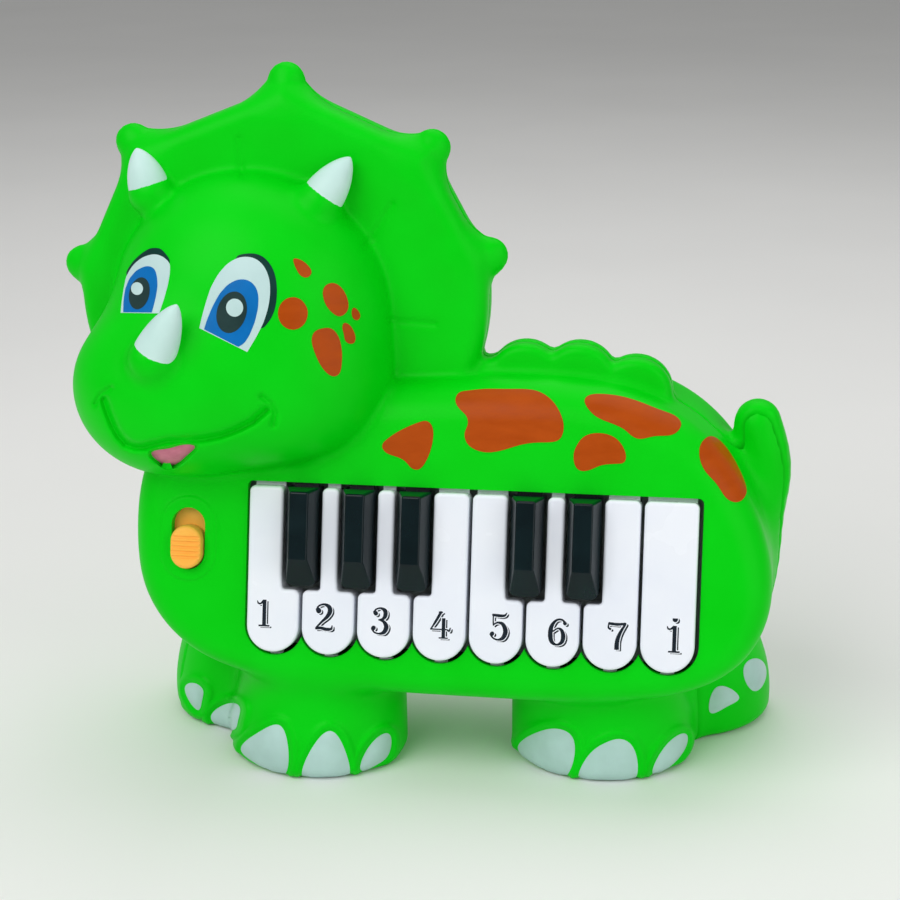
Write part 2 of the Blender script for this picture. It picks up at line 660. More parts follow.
def work(piece, way, tools):
    """Add or cut closed objects in turn, then drop them."""
    for tool in tools:
        step = piece.modifiers.new("work", "BOOLEAN")
        step.operation = way
        step.solver = "MANIFOLD"
        step.object = tool
    done = bpy.data.meshes.new_from_object(piece.evaluated_get(bpy.context.evaluated_depsgraph_get()))
    piece.modifiers.clear()
    piece.data = done
    for tool in tools:
        bpy.data.objects.remove(tool)
    return piece


def half_net(form, side, step, cells, past, edge):
    """Skin of a form on one side of the parting plane, run past it: net points short of an edge settle on the
    form; side is 1 for the front half and -1 for the back."""
    wide, over, deep, under, tall = cells
    xs = step * np.arange(-wide, wide + 1)
    ys = side * step * np.arange(over, -deep - 1, -1)[::side]
    zs = step * np.arange(-under, tall + 1)
    x, y, z = xs[:, None, None], ys[None, :, None], zs[None, None, :]
    points, faces = surface_net(np.maximum(form(x, y, z), side * y - past), (xs, ys, zs))
    free = side * points[:, 1] < edge
    points[free] = settle(points[free], form)
    return points, faces, free


def shell_skin(side):
    """Outer skin of one half, closed flat at the parting plane."""
    points, faces, free = half_net(moulded_form, side, NET_STEP, NET_CELLS, 0, -0.02 * NET_STEP)
    points[free, 1] = side * np.minimum(side * points[free, 1], 0)
    return points, faces


def shell_hollow(side):
    """Space inside the walls of one half: the bare form drawn in by the wall, run past the parting plane."""
    points, faces, _ = half_net(lambda x, y, z: bare_form(x, y, z) + WALL, side,
                                HOLLOW_STEP, HOLLOW_CELLS, HOLLOW_STEP, 0)
    return points, faces


def refine(piece, steps=(0.03, 0.3)):
    """Halve the edges around the carved lines, then settle raised points on the carved form and sink the
    points of grooves onto it."""
    mesh = piece.data
    bm = bmesh.new()
    bm.from_mesh(mesh)
    for least in steps:
        here = np.array([v.co for v in bm.verts])
        near = np.abs(carving(here)) > least
        bm.verts.index_update()
        edges = [e for e in bm.edges if near[e.verts[0].index] or near[e.verts[1].index]]
        bmesh.ops.subdivide_edges(bm, edges=edges, cuts=1, use_grid_fill=False)
        bmesh.ops.triangulate(bm, faces=[f for f in bm.faces if len(f.verts) > 3])
    bm.to_mesh(mesh)
    bm.free()
    here = np.zeros(len(mesh.vertices) * 3)
    mesh.vertices.foreach_get("co", here)
    here = here.reshape(-1, 3)
    depth = carving(here)
    raised = (here[:, 1] < -SEAM_KEEP) & (depth < -LEAST_CARVING)
    sunk = (here[:, 1] < -SEAM_KEEP) & (depth > LEAST_CARVING)
    here[raised] = settle(here[raised], carved_form)
    here[sunk] = sink(here[sunk])
    mesh.vertices.foreach_set("co", here.ravel())
    mesh.update()
    return piece


def key_window():
    """Outline of the keyboard's opening: straight above with round corners, a scallop below every key."""
    reach = KEY_WIDTH / 2 + WINDOW_GAP
    low = KEY_TOP - KEY_LENGTH + KEY_WIDTH / 2
    lean = math.acos(KEY_PITCH / 2 / reach)
    parts = []
    for n in range(KEY_COUNT):
        end = n == KEY_COUNT - 1
        turn = np.linspace(math.pi + (lean if n else 0), 2 * math.pi - (0 if end else lean), 24)
        turn = turn if end else turn[:-1]
        x = KEY_ROW_LEFT + KEY_WIDTH / 2 + n * KEY_PITCH
        parts.append(np.stack([x + reach * np.cos(turn), low + reach * np.sin(turn)], 1))
    side = -KEY_ROW_LEFT + WINDOW_GAP
    top = KEY_TOP + WINDOW_GAP
    turn = np.linspace(0, np.pi / 2, 6)
    bow = WINDOW_CORNER * np.stack([np.cos(turn), np.sin(turn)], 1)
    parts.append(np.array([side - WINDOW_CORNER, top - WINDOW_CORNER]) + bow)
    parts.append(np.array([WINDOW_CORNER - side, top - WINDOW_CORNER]) + bow[::-1] * [-1, 1])
    return np.concatenate(parts)


# Finishes

def linear(code):
    """Linear colour of an sRGB hex value: c / 12.92 if dark, else ((c + 0.055) / 1.055) to the power 2.4."""
    c = np.array([int(code[i:i + 2], 16) for i in (1, 3, 5)]) / 255
    return (*np.where(c <= 0.04045, c / 12.92, ((c + 0.055) / 1.055) ** 2.4).tolist(), 1.0)


def add(tree, kind, inputs, **settings):
    """One node with its settings, its values and its links."""
    made = tree.nodes.new("ShaderNode" + kind)
    for key, value in settings.items():
        setattr(made, key, value)
    for key, value in inputs.items():
        if isinstance(value, bpy.types.NodeSocket):
            tree.links.new(value, made.inputs[key])
        else:
            made.inputs[key].default_value = value
    return made


def finish(name, pale, deep, cloud, rough, grain, relief, stretch=(1, 1, 1), gloss=0.14, **shader):
    """Surface with three patterns on Object coordinates: a cloud of colour between two tones, a roughness
    that varies between two values, and a grain; cloud, grain and relief are given in millimetres."""
    material = bpy.data.materials.new(name)
    material.use_nodes = True
    tree = material.node_tree
    tree.nodes.clear()
    place = add(tree, "TexCoord", {}).outputs["Object"]
    drawn = add(tree, "Mapping", {"Vector": place, "Scale": stretch}).outputs["Vector"]
    clouds = add(tree, "TexNoise", {"Vector": drawn, "Scale": 1000 / cloud, "Detail": 3.0, "Roughness": 0.55})
    tone = add(tree, "ValToRGB", {"Fac": clouds.outputs["Fac"]})
    tone.color_ramp.elements[0].position = 0.3
    tone.color_ramp.elements[1].position = 0.7
    tone.color_ramp.elements[0].color = linear(deep)
    tone.color_ramp.elements[1].color = linear(pale)
    grit = add(tree, "TexNoise", {"Vector": drawn, "Scale": 1000 / grain, "Detail": 2.0, "Roughness": 0.6})
    sheen = add(tree, "MapRange", {"Value": clouds.outputs["Fac"], "From Min": 0.3, "From Max": 0.7,
                                   "To Min": rough[0], "To Max": rough[1]})
    bump = add(tree, "Bump", {"Height": grit.outputs["Fac"], "Strength": 1.0, "Distance": relief / 1000})
    body = add(tree, "BsdfPrincipled", {
        "Base Color": tone.outputs["Color"], "Roughness": sheen.outputs["Result"],
        "Normal": bump.outputs["Normal"], "Specular IOR Level": gloss, **shader})
    add(tree, "OutputMaterial", {"Surface": body.outputs["BSDF"]})
    return material


# Moulded toy plastic: even colour with a faint cloud, a satin gloss and a fine spark-eroded grain.  Grain
# under half a millimetre would not show, so moulded and painted grain is drawn at 0.7 to 1 mm.
GREEN_ABS = finish("moulded_green_abs", "#02d414", "#00c90b", 38, (0.34, 0.44), 0.8, 0.012,
                   gloss=0.07, IOR=1.52)
WHITE_ABS = finish("polished_white_abs", "#f0f4fb", "#e9eef8", 22, (0.20, 0.28), 0.9, 0.004,
                   gloss=0.3, IOR=1.53)
BLACK_ABS = finish("polished_black_abs", "#021a1e", "#011115", 14, (0.16, 0.26), 0.9, 0.005,
                   gloss=0.2, IOR=1.53)
ORANGE_ABS = finish("moulded_orange_abs", "#ffbe55", "#ffb146", 9, (0.32, 0.42), 0.7, 0.010, IOR=1.52)
GREY_ABS = finish("moulded_grey_abs", "#b9cbc4", "#abbcb6", 20, (0.40, 0.50), 0.8, 0.012, IOR=1.52)
GREY_RUBBER = finish("silicone_rubber", "#c9d2cf", "#bcc6c3", 12, (0.55, 0.65), 0.7, 0.020, IOR=1.41)
BOARD = finish("solder_masked_board", "#2c6b3c", "#245e33", 8, (0.30, 0.42), 0.6, 0.010, IOR=1.55)
RESIN = finish("black_epoxy_drop", "#191919", "#101010", 6, (0.18, 0.30), 0.8, 0.010, IOR=1.55)
# Plated and pressed metal, blotched by handling; the cone's paper is fibrous, drawn out along the height.
NICKEL = finish("nickel_plated_strip", "#c4c6c8", "#b2b6ba", 5, (0.22, 0.34), 0.6, 0.006, Metallic=1.0)
ZINC = finish("zinc_plated_screw", "#b4b8bc", "#9a9fa4", 3, (0.26, 0.42), 0.5, 0.010, Metallic=1.0)
SWITCH_STEEL = finish("pressed_switch_steel", "#c3c6c8", "#b4b8ba", 5, (0.25, 0.36), 0.6, 0.006, Metallic=1.0)
SPEAKER_STEEL = finish("blacked_steel", "#42454a", "#33363a", 7, (0.36, 0.50), 0.6, 0.012, Metallic=1.0)
SPEAKER_PAPER = finish("pressed_paper_cone", "#2c2824", "#1d1a18", 2, (0.70, 0.85), 0.5, 0.050,
                       (1, 1, 4), IOR=1.45)
# Sprayed and pad-printed paint: a thin, slightly orange-peeled coat; the spots carry faint rubbed streaks.
SPOT_PAINT = finish("sprayed_orange_brown", "#b44a00", "#a94300", 9, (0.30, 0.46), 0.9, 0.012,
                    (1, 1, 3), IOR=1.48)
HORN_PAINT = finish("sprayed_mint_white", "#cbe9e3", "#c0e0da", 12, (0.32, 0.42), 0.8, 0.010, IOR=1.48)
NAIL_PAINT = finish("sprayed_nail_grey", "#bad9d5", "#adccc7", 10, (0.32, 0.42), 0.8, 0.010, IOR=1.48)
EYE_PAINT = finish("printed_eye_white", "#c4dfde", "#bad7d6", 12, (0.30, 0.40), 0.8, 0.008, IOR=1.48)
BLUE_PAINT = finish("printed_iris_blue", "#0570bb", "#0368b0", 8, (0.30, 0.40), 0.8, 0.008, IOR=1.48)
DARK_PAINT = finish("printed_dark_teal", "#263f3e", "#1d3534", 8, (0.32, 0.42), 0.8, 0.008, IOR=1.48)
LASH_PAINT = finish("printed_lash_teal", "#0c3b35", "#08322d", 8, (0.32, 0.42), 0.8, 0.008, IOR=1.48)
PINK_PAINT = finish("sprayed_tongue_pink", "#d07f92", "#bd6d82", 3, (0.34, 0.46), 0.8, 0.012, IOR=1.48)
INK = finish("stamped_black_ink", "#1c2630", "#141c25", 2, (0.35, 0.50), 0.7, 0.006, IOR=1.48)

SLOT_FINISHES = {
    "green_plastic": GREEN_ABS, "white_plastic": WHITE_ABS, "black_plastic": BLACK_ABS,
    "orange_plastic": ORANGE_ABS, "grey_plastic": GREY_ABS, "grey_rubber": GREY_RUBBER, "board": BOARD,
    "black_resin": RESIN, "bright_metal": NICKEL, "steel": ZINC, "switch_metal": SWITCH_STEEL,
    "speaker_metal": SPEAKER_STEEL, "speaker_paper": SPEAKER_PAPER}
for row in frame["record"]["subparts"]:
    node = frame["nodes"][row["node"]]
    node.data.materials.clear()
    node.data.materials.append(SLOT_FINISHES[row["material_slot"]])


# Shell halves

POST_RADIUS = 4.4
POST_BORE = 3.5
POST_HOLE = 1.4
SCREW_SEAT = 4.0
POSTS = ((-53.05, 39.02), (88.23, 61.28), (38.03, 99.08), (-79.88, 142.5), (1.66, 143.21))
BAY = (1.5, 58.5, 44.2, 89.8)
BAY_FLOOR = 10.85
BAY_WALL = 2.0
COVER_SEAT = 25.65
COVER_GAP = 0.35
COVER_LEDGE = 2.6
COVER_CORNER = 4.0
COVER_LOBES = ((-4.7, 67.0), (64.7, 67.0))
COVER_LOBE = 6.0
LOBE_POST = 4.2
LOBE_FOOT = 16.5
SPEAKER = (-38.0, 66.0)
GRILLE_RADIUS = 15.0
GRILLE_PITCH = 4.3
GRILLE_SLOT = 2.2
GRILLE_SIDE_SLOTS = 3
# how far cuts run past the back, and the steps that keep flat ends apart
CUT_PAST = 9.0
CUT_STEP = 1.0
BOSS_STEP = 0.1
POST_REACH = np.arange(0, 60, 0.25)
POST_MARGIN = 0.6
# edges of the shells that turn by more degrees than this are shown sharp
SHELL_SHARP = 62.0


def wall_depth(x, z, side):
    """How far a post runs from the parting plane: to the middle of the wall at its rim's shallowest place."""
    run = POST_REACH
    rim_x, rim_z = circle(x, z, POST_RADIUS + POST_MARGIN, 16).T
    form = moulded_form(*np.broadcast_arrays(rim_x[:, None], -side * run[None, :], rim_z[:, None]))
    return run[np.argmax(form > -WALL / 2, axis=1)].min()


def front_half():
    """Front half: hollow skin with screw posts, the keyboard's window and the switch's slot."""
    piece = refine(bare_object("front_moulding", *shell_skin(1)))
    work(piece, "DIFFERENCE", [solid(*shell_hollow(1))])
    posts = [prism(circle(x, z, POST_RADIUS), upright, -wall_depth(x, z, 1), 0) for x, z in POSTS]
    work(piece, "UNION", [solid(*post) for post in posts])
    loops = key_window(), pill(*SWITCH_PLACE, *SWITCH_SLOT)
    return work(piece, "DIFFERENCE", [solid(*prism(loop, deck_point, *DECK_CUT)) for loop in loops])


def cover_outline(margin):
    """Plan of the cells' cover: a rounded rectangle with a round screw lobe on either side."""
    x0, x1, z0, z1 = BAY
    reach = COVER_LEDGE + margin
    plan = rounded_box(x0 - reach, x1 + reach, z0 - reach, z1 + reach, COVER_CORNER)
    lobes = []
    for (x, z), edge, first in zip(COVER_LOBES, (x0 - reach, x1 + reach), (0, math.pi)):
        lean = math.acos(abs(edge - x) / (COVER_LOBE + margin))
        turn = np.linspace(lean, 2 * math.pi - lean, 32) + first
        lobes.append(np.array([x, z]) + (COVER_LOBE + margin) * np.stack([np.cos(turn), np.sin(turn)], 1))
    half = len(plan) // 2
    return np.concatenate([plan[:half], lobes[0], plan[half:], lobes[1]])


def rear_cuts():
    """One closed object of all that is cut from the back: the cover's seat, cell bay, bores and grille."""
    far = REAR + CUT_PAST
    x0, x1, z0, z1 = BAY
    cuts = [prism(cover_outline(COVER_GAP), upright, COVER_SEAT, far),
            prism(rounded_box(x0, x1, z0, z1, COVER_GAP), upright, BAY_FLOOR, far + CUT_STEP)]
    for x, z in COVER_LOBES:
        cuts.append(prism(circle(x, z, POST_HOLE), upright, LOBE_FOOT + BAY_WALL, far + 2 * CUT_STEP))
    cuts += [prism(circle(x, z, POST_BORE), upright, SCREW_SEAT, far) for x, z in POSTS]
    cuts += [prism(circle(x, z, POST_HOLE), upright, -CUT_STEP, far + CUT_STEP) for x, z in POSTS]
    for n in range(-GRILLE_SIDE_SLOTS, GRILLE_SIDE_SLOTS + 1):
        reach = 2 * math.sqrt(GRILLE_RADIUS ** 2 - (n * GRILLE_PITCH) ** 2) + GRILLE_SLOT
        slot = pill(SPEAKER[0] + n * GRILLE_PITCH, SPEAKER[1], GRILLE_SLOT, reach, 12)
        cuts.append(prism(slot, upright, REAR - 2 * WALL, far))
    return work(solid(*cuts[0]), "UNION", [solid(*row) for row in cuts[1:]])


def back_half():
    """Skin of the back half, with the openings in it."""
    piece = bare_object("rear_moulding", *shell_skin(-1))
    work(piece, "DIFFERENCE", [solid(*shell_hollow(-1))])
    return work(piece, "DIFFERENCE", [rear_cuts()])


def back_bosses():
    """Inside of the back half: the tray of the cell bay, the ledge under its cover and the bored posts."""
    x0, x1, z0, z1 = BAY
    tray = rounded_box(x0 - BAY_WALL, x1 + BAY_WALL, z0 - BAY_WALL, z1 + BAY_WALL, BAY_WALL)
    inside = REAR - WALL / 2
    rows = [prism(cover_outline(COVER_GAP + BAY_WALL), upright, COVER_SEAT - BAY_WALL, inside),
            prism(tray, upright, BAY_FLOOR - BAY_WALL, inside - BOSS_STEP)]
    for x, z in COVER_LOBES:
        rows.append(prism(circle(x, z, LOBE_POST), upright, LOBE_FOOT, inside - 2 * BOSS_STEP))
    rows += [prism(circle(x, z, POST_RADIUS), upright, 0, wall_depth(x, z, -1)) for x, z in POSTS]
    piece = work(solid(*rows[0], "rear_bosses"), "UNION", [solid(*row) for row in rows[1:]])
    return work(piece, "DIFFERENCE", [rear_cuts()])


def to_frame(piece):
    """Carries a finished layout mesh to the part's own frame."""
    piece.data.transform(Matrix.Translation(LAYOUT_SHIFT / 1000) @ Matrix.Scale(0.001, 4))
    return piece


for build, node in ((front_half, "front_shell"), (back_half, "rear_shell"), (back_bosses, None)):
    piece = dress(to_frame(build()), GREEN_ABS, "housing", SHELL_SHARP)
    if node:
        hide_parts(node)


# Paint

COAT_ROOT = 0.3
COAT_RING = 1.4
COAT_RINGS = 6


def coat(name, loop, lift, material, bulge=0.0):
    """Thin coat on the form: shares of the way from the middle of an outline to its edge, struck along the
    camera's sight lines, raised by the lift and a parabola of the share, and closed below the surface."""
    loop = np.asarray(loop)
    middle = loop.mean(0)
    rings = max(COAT_RINGS, int(np.ptp(loop, 0).max() / SPOTS_PER_MM / COAT_RING))
    share = np.linspace(0, 1, rings + 1)[1:]
    spots = middle + share[:, None, None] * (loop - middle)
    spots = np.concatenate([middle[None], spots.reshape(-1, 2)])
    base = strike(EYE, sight_lines(spots), carved_form, NEAREST)
    way, _ = slopes(base, carved_form)
    height = lift + bulge * (1 - np.concatenate([[0], np.repeat(share, len(loop))]) ** 2)
    n, count = len(loop), len(base)
    here, ahead = np.arange(n), (np.arange(n) + 1) % n
    top = [[0, 1 + a, 1 + b] for a, b in zip(here, ahead)]
    for r in range(rings - 1):
        low, high = 1 + r * n, 1 + (r + 1) * n
        top += np.stack([low + here, high + here, high + ahead, low + ahead], 1).tolist()
    rim = 1 + (rings - 1) * n
    under = [[count + i for i in face[::-1]] for face in top]
    wall = np.stack([rim + ahead, rim + here, rim + here + count, rim + ahead + count], 1)[:, ::-1].tolist()
    points = np.concatenate([base + way * height[:, None], base - way * COAT_ROOT])
    points[:, 2] = np.maximum(points[:, 2], 0)
    faces = top + under + wall
    first = points[faces[0]]
    if np.dot(np.cross(first[1] - first[0], first[2] - first[0]), way[0]) < 0:
        faces = [face[::-1] for face in faces]
    return dress(bare_object(name, seat(points), faces), material, "housing")


def pointed(run, count=80):
    """Outline with a smooth run and a straight edge back to its start."""
    run = np.asarray(run, float)
    far = np.concatenate([[0], np.cumsum(np.linalg.norm(np.diff(run, axis=0), axis=1))])
    at = np.linspace(0, far[-1], count)
    arc = np.stack([np.interp(at, far, run[:, i]) for i in (0, 1)], 1)
    soft = np.pad(arc, ((2, 2), (0, 0)), "edge")
    arc[1:-1] = ((soft[:-4] + 2 * soft[1:-3] + 2 * soft[2:-2] + 2 * soft[3:-1] + soft[4:]) / 8)[1:-1]
    back = np.linspace(arc[-1], arc[0], count // 4)[1:-1]
    return np.concatenate([arc, back])


def oval(x, y, across, along, lean):
    """Ellipse on the photograph, its long axis leaning to the right by degrees."""
    turn = np.linspace(0, 2 * np.pi, 64, endpoint=False)
    a = math.radians(lean)
    u, v = across * np.cos(turn), along * np.sin(turn)
    return np.stack([x + u * math.cos(a) - v * math.sin(a), y + u * math.sin(a) + v * math.cos(a)], 1)


LEFT_LASH = ((126.8, 275.0), (131.0, 264.5), (139.2, 255.6), (148.7, 249.2), (154.6, 248.0), (160.5, 248.9),
             (165.2, 253.3), (169.8, 262.0), (160.0, 272.0), (140.0, 276.0))
LEFT_WHITE = ((120.9, 312.9), (122.1, 301.1), (123.9, 289.3), (126.2, 277.5), (130.4, 269.2), (135.7, 262.7),
              (142.8, 257.4), (152.2, 254.2), (159.3, 254.8), (165.2, 258.0), (170.2, 263.3), (170.1, 272.8),
              (168.1, 284.6), (164.6, 297.5), (159.3, 313.5))
LEFT_IRIS = ((123.6, 312.5), (123.9, 301.1), (125.6, 289.3), (129.8, 278.7), (136.9, 270.4), (145.1, 266.4),
             (151.0, 266.3), (155.1, 269.2), (157.3, 276.3), (157.9, 285.7), (156.3, 296.3), (154.0, 305.8),
             (152.0, 312.7))
RIGHT_LASH = ((236.0, 258.5), (244.2, 253.9), (253.7, 253.6), (261.9, 256.2), (269.0, 262.7), (274.3, 272.8),
              (276.7, 285.7), (276.3, 301.1), (273.1, 314.0), (267.8, 322.9), (261.5, 328.2), (250.0, 310.0))
RIGHT_WHITE = ((199.4, 328.2), (201.2, 319.9), (205.3, 304.6), (210.6, 288.1), (218.3, 273.9), (227.7, 263.3),
               (238.3, 257.4), (246.6, 256.5), (254.8, 258.0), (261.9, 263.3), (266.6, 270.4), (269.9, 281.0),
               (270.2, 294.0), (268.4, 307.0), (263.7, 322.3), (256.0, 337.6), (247.2, 352.0))
RIGHT_IRIS = ((204.1, 329.4), (207.1, 319.9), (212.4, 307.0), (219.4, 294.0), (227.7, 284.6), (237.1, 279.6),
              (245.4, 279.2), (251.9, 282.2), (256.6, 288.1), (258.6, 296.3), (258.1, 308.1), (254.8, 322.3),
              (249.5, 335.3), (244.2, 343.5), (238.3, 346.9))
FACE_SPOTS = (
    ((293.7, 258.9), (298.8, 259.3), (305.3, 263.0), (309.9, 268.1), (311.3, 272.3), (309.0, 276.4),
     (304.4, 277.4), (299.8, 274.6), (296.1, 268.6), (293.7, 262.6)),
    tuple(map(tuple, oval(292.8, 313.4, 14.8, 16.2, 0)[::6])),
    ((331.2, 283.1), (337.7, 284.8), (343.2, 290.3), (347.4, 299.6), (347.8, 308.8), (344.1, 314.3),
     (338.6, 316.2), (332.1, 312.5), (326.1, 305.1), (322.9, 294.9), (324.7, 286.6)),
    ((324.7, 328.0), (331.2, 328.7), (336.7, 333.8), (340.4, 343.0), (341.8, 354.1), (341.4, 365.2),
     (339.1, 373.5), (334.0, 376.3), (327.5, 373.5), (320.1, 364.3), (315.0, 353.2), (311.8, 341.2),
     (314.6, 331.9)),
    ((353.4, 307.9), (357.1, 309.7), (359.9, 315.3), (358.5, 319.4), (355.2, 319.9), (352.5, 317.1),
     (351.7, 311.6)),
    ((344.1, 323.1), (348.8, 324.5), (353.4, 331.0), (355.2, 338.4), (353.4, 343.0), (348.8, 343.5),
     (345.1, 340.2), (343.7, 333.8), (342.3, 327.3)))
FLANK_SPOTS = (
    ((382.3, 445.5), (388.3, 438.2), (401.7, 429.7), (418.6, 422.4), (427.1, 421.2), (432.0, 426.1),
     (433.2, 435.8), (431.2, 447.9), (425.9, 461.3), (418.6, 469.3), (411.4, 467.8), (405.3, 461.3),
     (395.6, 456.4), (385.9, 452.3)),
    ((455.5, 400.6), (458.6, 393.3), (467.1, 390.9), (484.1, 389.2), (505.9, 389.2), (530.1, 389.7),
     (542.2, 393.3), (553.1, 401.8), (561.6, 416.4), (563.6, 428.5), (560.4, 438.2), (553.1, 441.8),
     (535.0, 442.6), (518.0, 445.5), (503.5, 449.9), (486.5, 452.3), (474.4, 449.1), (467.1, 443.1),
     (464.7, 433.4), (467.6, 424.9), (466.6, 416.4), (459.8, 409.1)),
    ((584.6, 400.6), (588.3, 395.8), (598.0, 394.1), (617.4, 395.8), (639.2, 401.8), (661.0, 410.3),
     (675.5, 416.4), (680.9, 423.7), (678.0, 430.9), (669.5, 435.3), (653.7, 436.3), (640.4, 438.9),
     (631.9, 435.8), (624.6, 429.7), (612.5, 423.7), (598.0, 417.6), (589.5, 410.3)),
    ((573.7, 455.2), (576.2, 446.7), (582.2, 438.2), (590.7, 433.9), (602.8, 433.4), (614.9, 437.7),
     (622.2, 445.5), (625.8, 455.2), (624.2, 462.0), (617.4, 463.7), (602.8, 464.9), (593.1, 468.5),
     (583.4, 471.0), (576.2, 467.3)),
    ((699.3, 450.3), (702.2, 441.8), (709.5, 436.5), (718.0, 439.4), (728.9, 451.5), (738.6, 468.5),
     (745.8, 486.7), (745.3, 495.2), (739.8, 501.3), (731.3, 501.3), (724.0, 495.2), (716.8, 484.3),
     (707.0, 473.4), (700.9, 462.5)))
LEFT_OVALS = ((139.8, 293.6, 10.0, 16.3, 13), (137.7, 288.9, 5.9, 6.4, 0))
RIGHT_OVALS = ((231.8, 312.3, 14.7, 21.2, 16), (234.8, 307.6, 8.5, 9.0, 0))
LIFTS = (0.07, 0.12, 0.17, 0.22, 0.27)
NAIL_BULGE = 0.9
TONGUE_BULGE = 0.35
for side, lash, white, iris, (pupil, glint) in (
        ("left", LEFT_LASH, LEFT_WHITE, LEFT_IRIS, LEFT_OVALS),
        ("right", RIGHT_LASH, RIGHT_WHITE, RIGHT_IRIS, RIGHT_OVALS)):
    coat("eye_lash_" + side, smooth_loop(lash, 90), LIFTS[0], LASH_PAINT)
    coat("eye_white_" + side, pointed(white), LIFTS[1], EYE_PAINT)
    coat("eye_iris_" + side, pointed(iris), LIFTS[2], BLUE_PAINT)
    coat("eye_pupil_" + side, oval(*pupil), LIFTS[3], DARK_PAINT)
    coat("eye_glint_" + side, oval(*glint), LIFTS[4], EYE_PAINT)
for n, loop in enumerate(FACE_SPOTS):
    coat("face_spot_%d" % (n + 1), smooth_loop(loop, 72), LIFTS[1], SPOT_PAINT)
for n, loop in enumerate(FLANK_SPOTS):
    coat("flank_spot_%d" % (n + 1), smooth_loop(loop, 120), LIFTS[1], SPOT_PAINT)
for n, (leg, loop) in enumerate(NAILS):
    coat("nail_%d" % (n + 1), smooth_loop(loop, 72), LIFTS[0], NAIL_PAINT, NAIL_BULGE)
coat("tongue", smooth_loop(MOUTH_PINK, 72), LIFTS[0], PINK_PAINT, TONGUE_BULGE)


def horn_coat(name, foot, tip, aim):
    """Painted horn turned about its axis: straight inside its mound, then a radius that falls as one less a
    power of the height, to another power, up to a blunt tip."""
    t = 1 - np.linspace(1, 0, 28) ** 2
    along = np.concatenate([[-HORN_SINK, -HORN_SINK], t * np.linalg.norm(tip - foot)])
    radius = HORN_RADIUS * np.concatenate([[0, 1], (1 - t ** HORN_POWERS[0]) ** HORN_POWERS[1]])
    side = np.cross(aim, [0, 1, 0])
    side /= np.linalg.norm(side)
    turn = np.linspace(0, 2 * np.pi, 48, endpoint=False)
    around = np.cos(turn)[:, None] * side + np.sin(turn)[:, None] * np.cross(aim, side)
    points = foot + along[:, None, None] * aim + radius[:, None, None] * around
    n = len(turn)
    here, ahead = np.arange(n), (np.arange(n) + 1) % n
    faces = []
    for low in range(0, (len(along) - 1) * n, n):
        faces += np.stack([low + here, low + ahead, low + n + ahead, low + n + here], 1).tolist()
    return dress(solid(seat(points.reshape(-1, 3)), faces, name), HORN_PAINT, "housing")


for name, row in zip(("brow_horn_left", "brow_horn_right", "nose_horn"), HORN_ROWS):
    horn_coat(name, *row)


# Printed digits: strokes of x, y and half width as shares of the digit's height, and straight-edged slabs

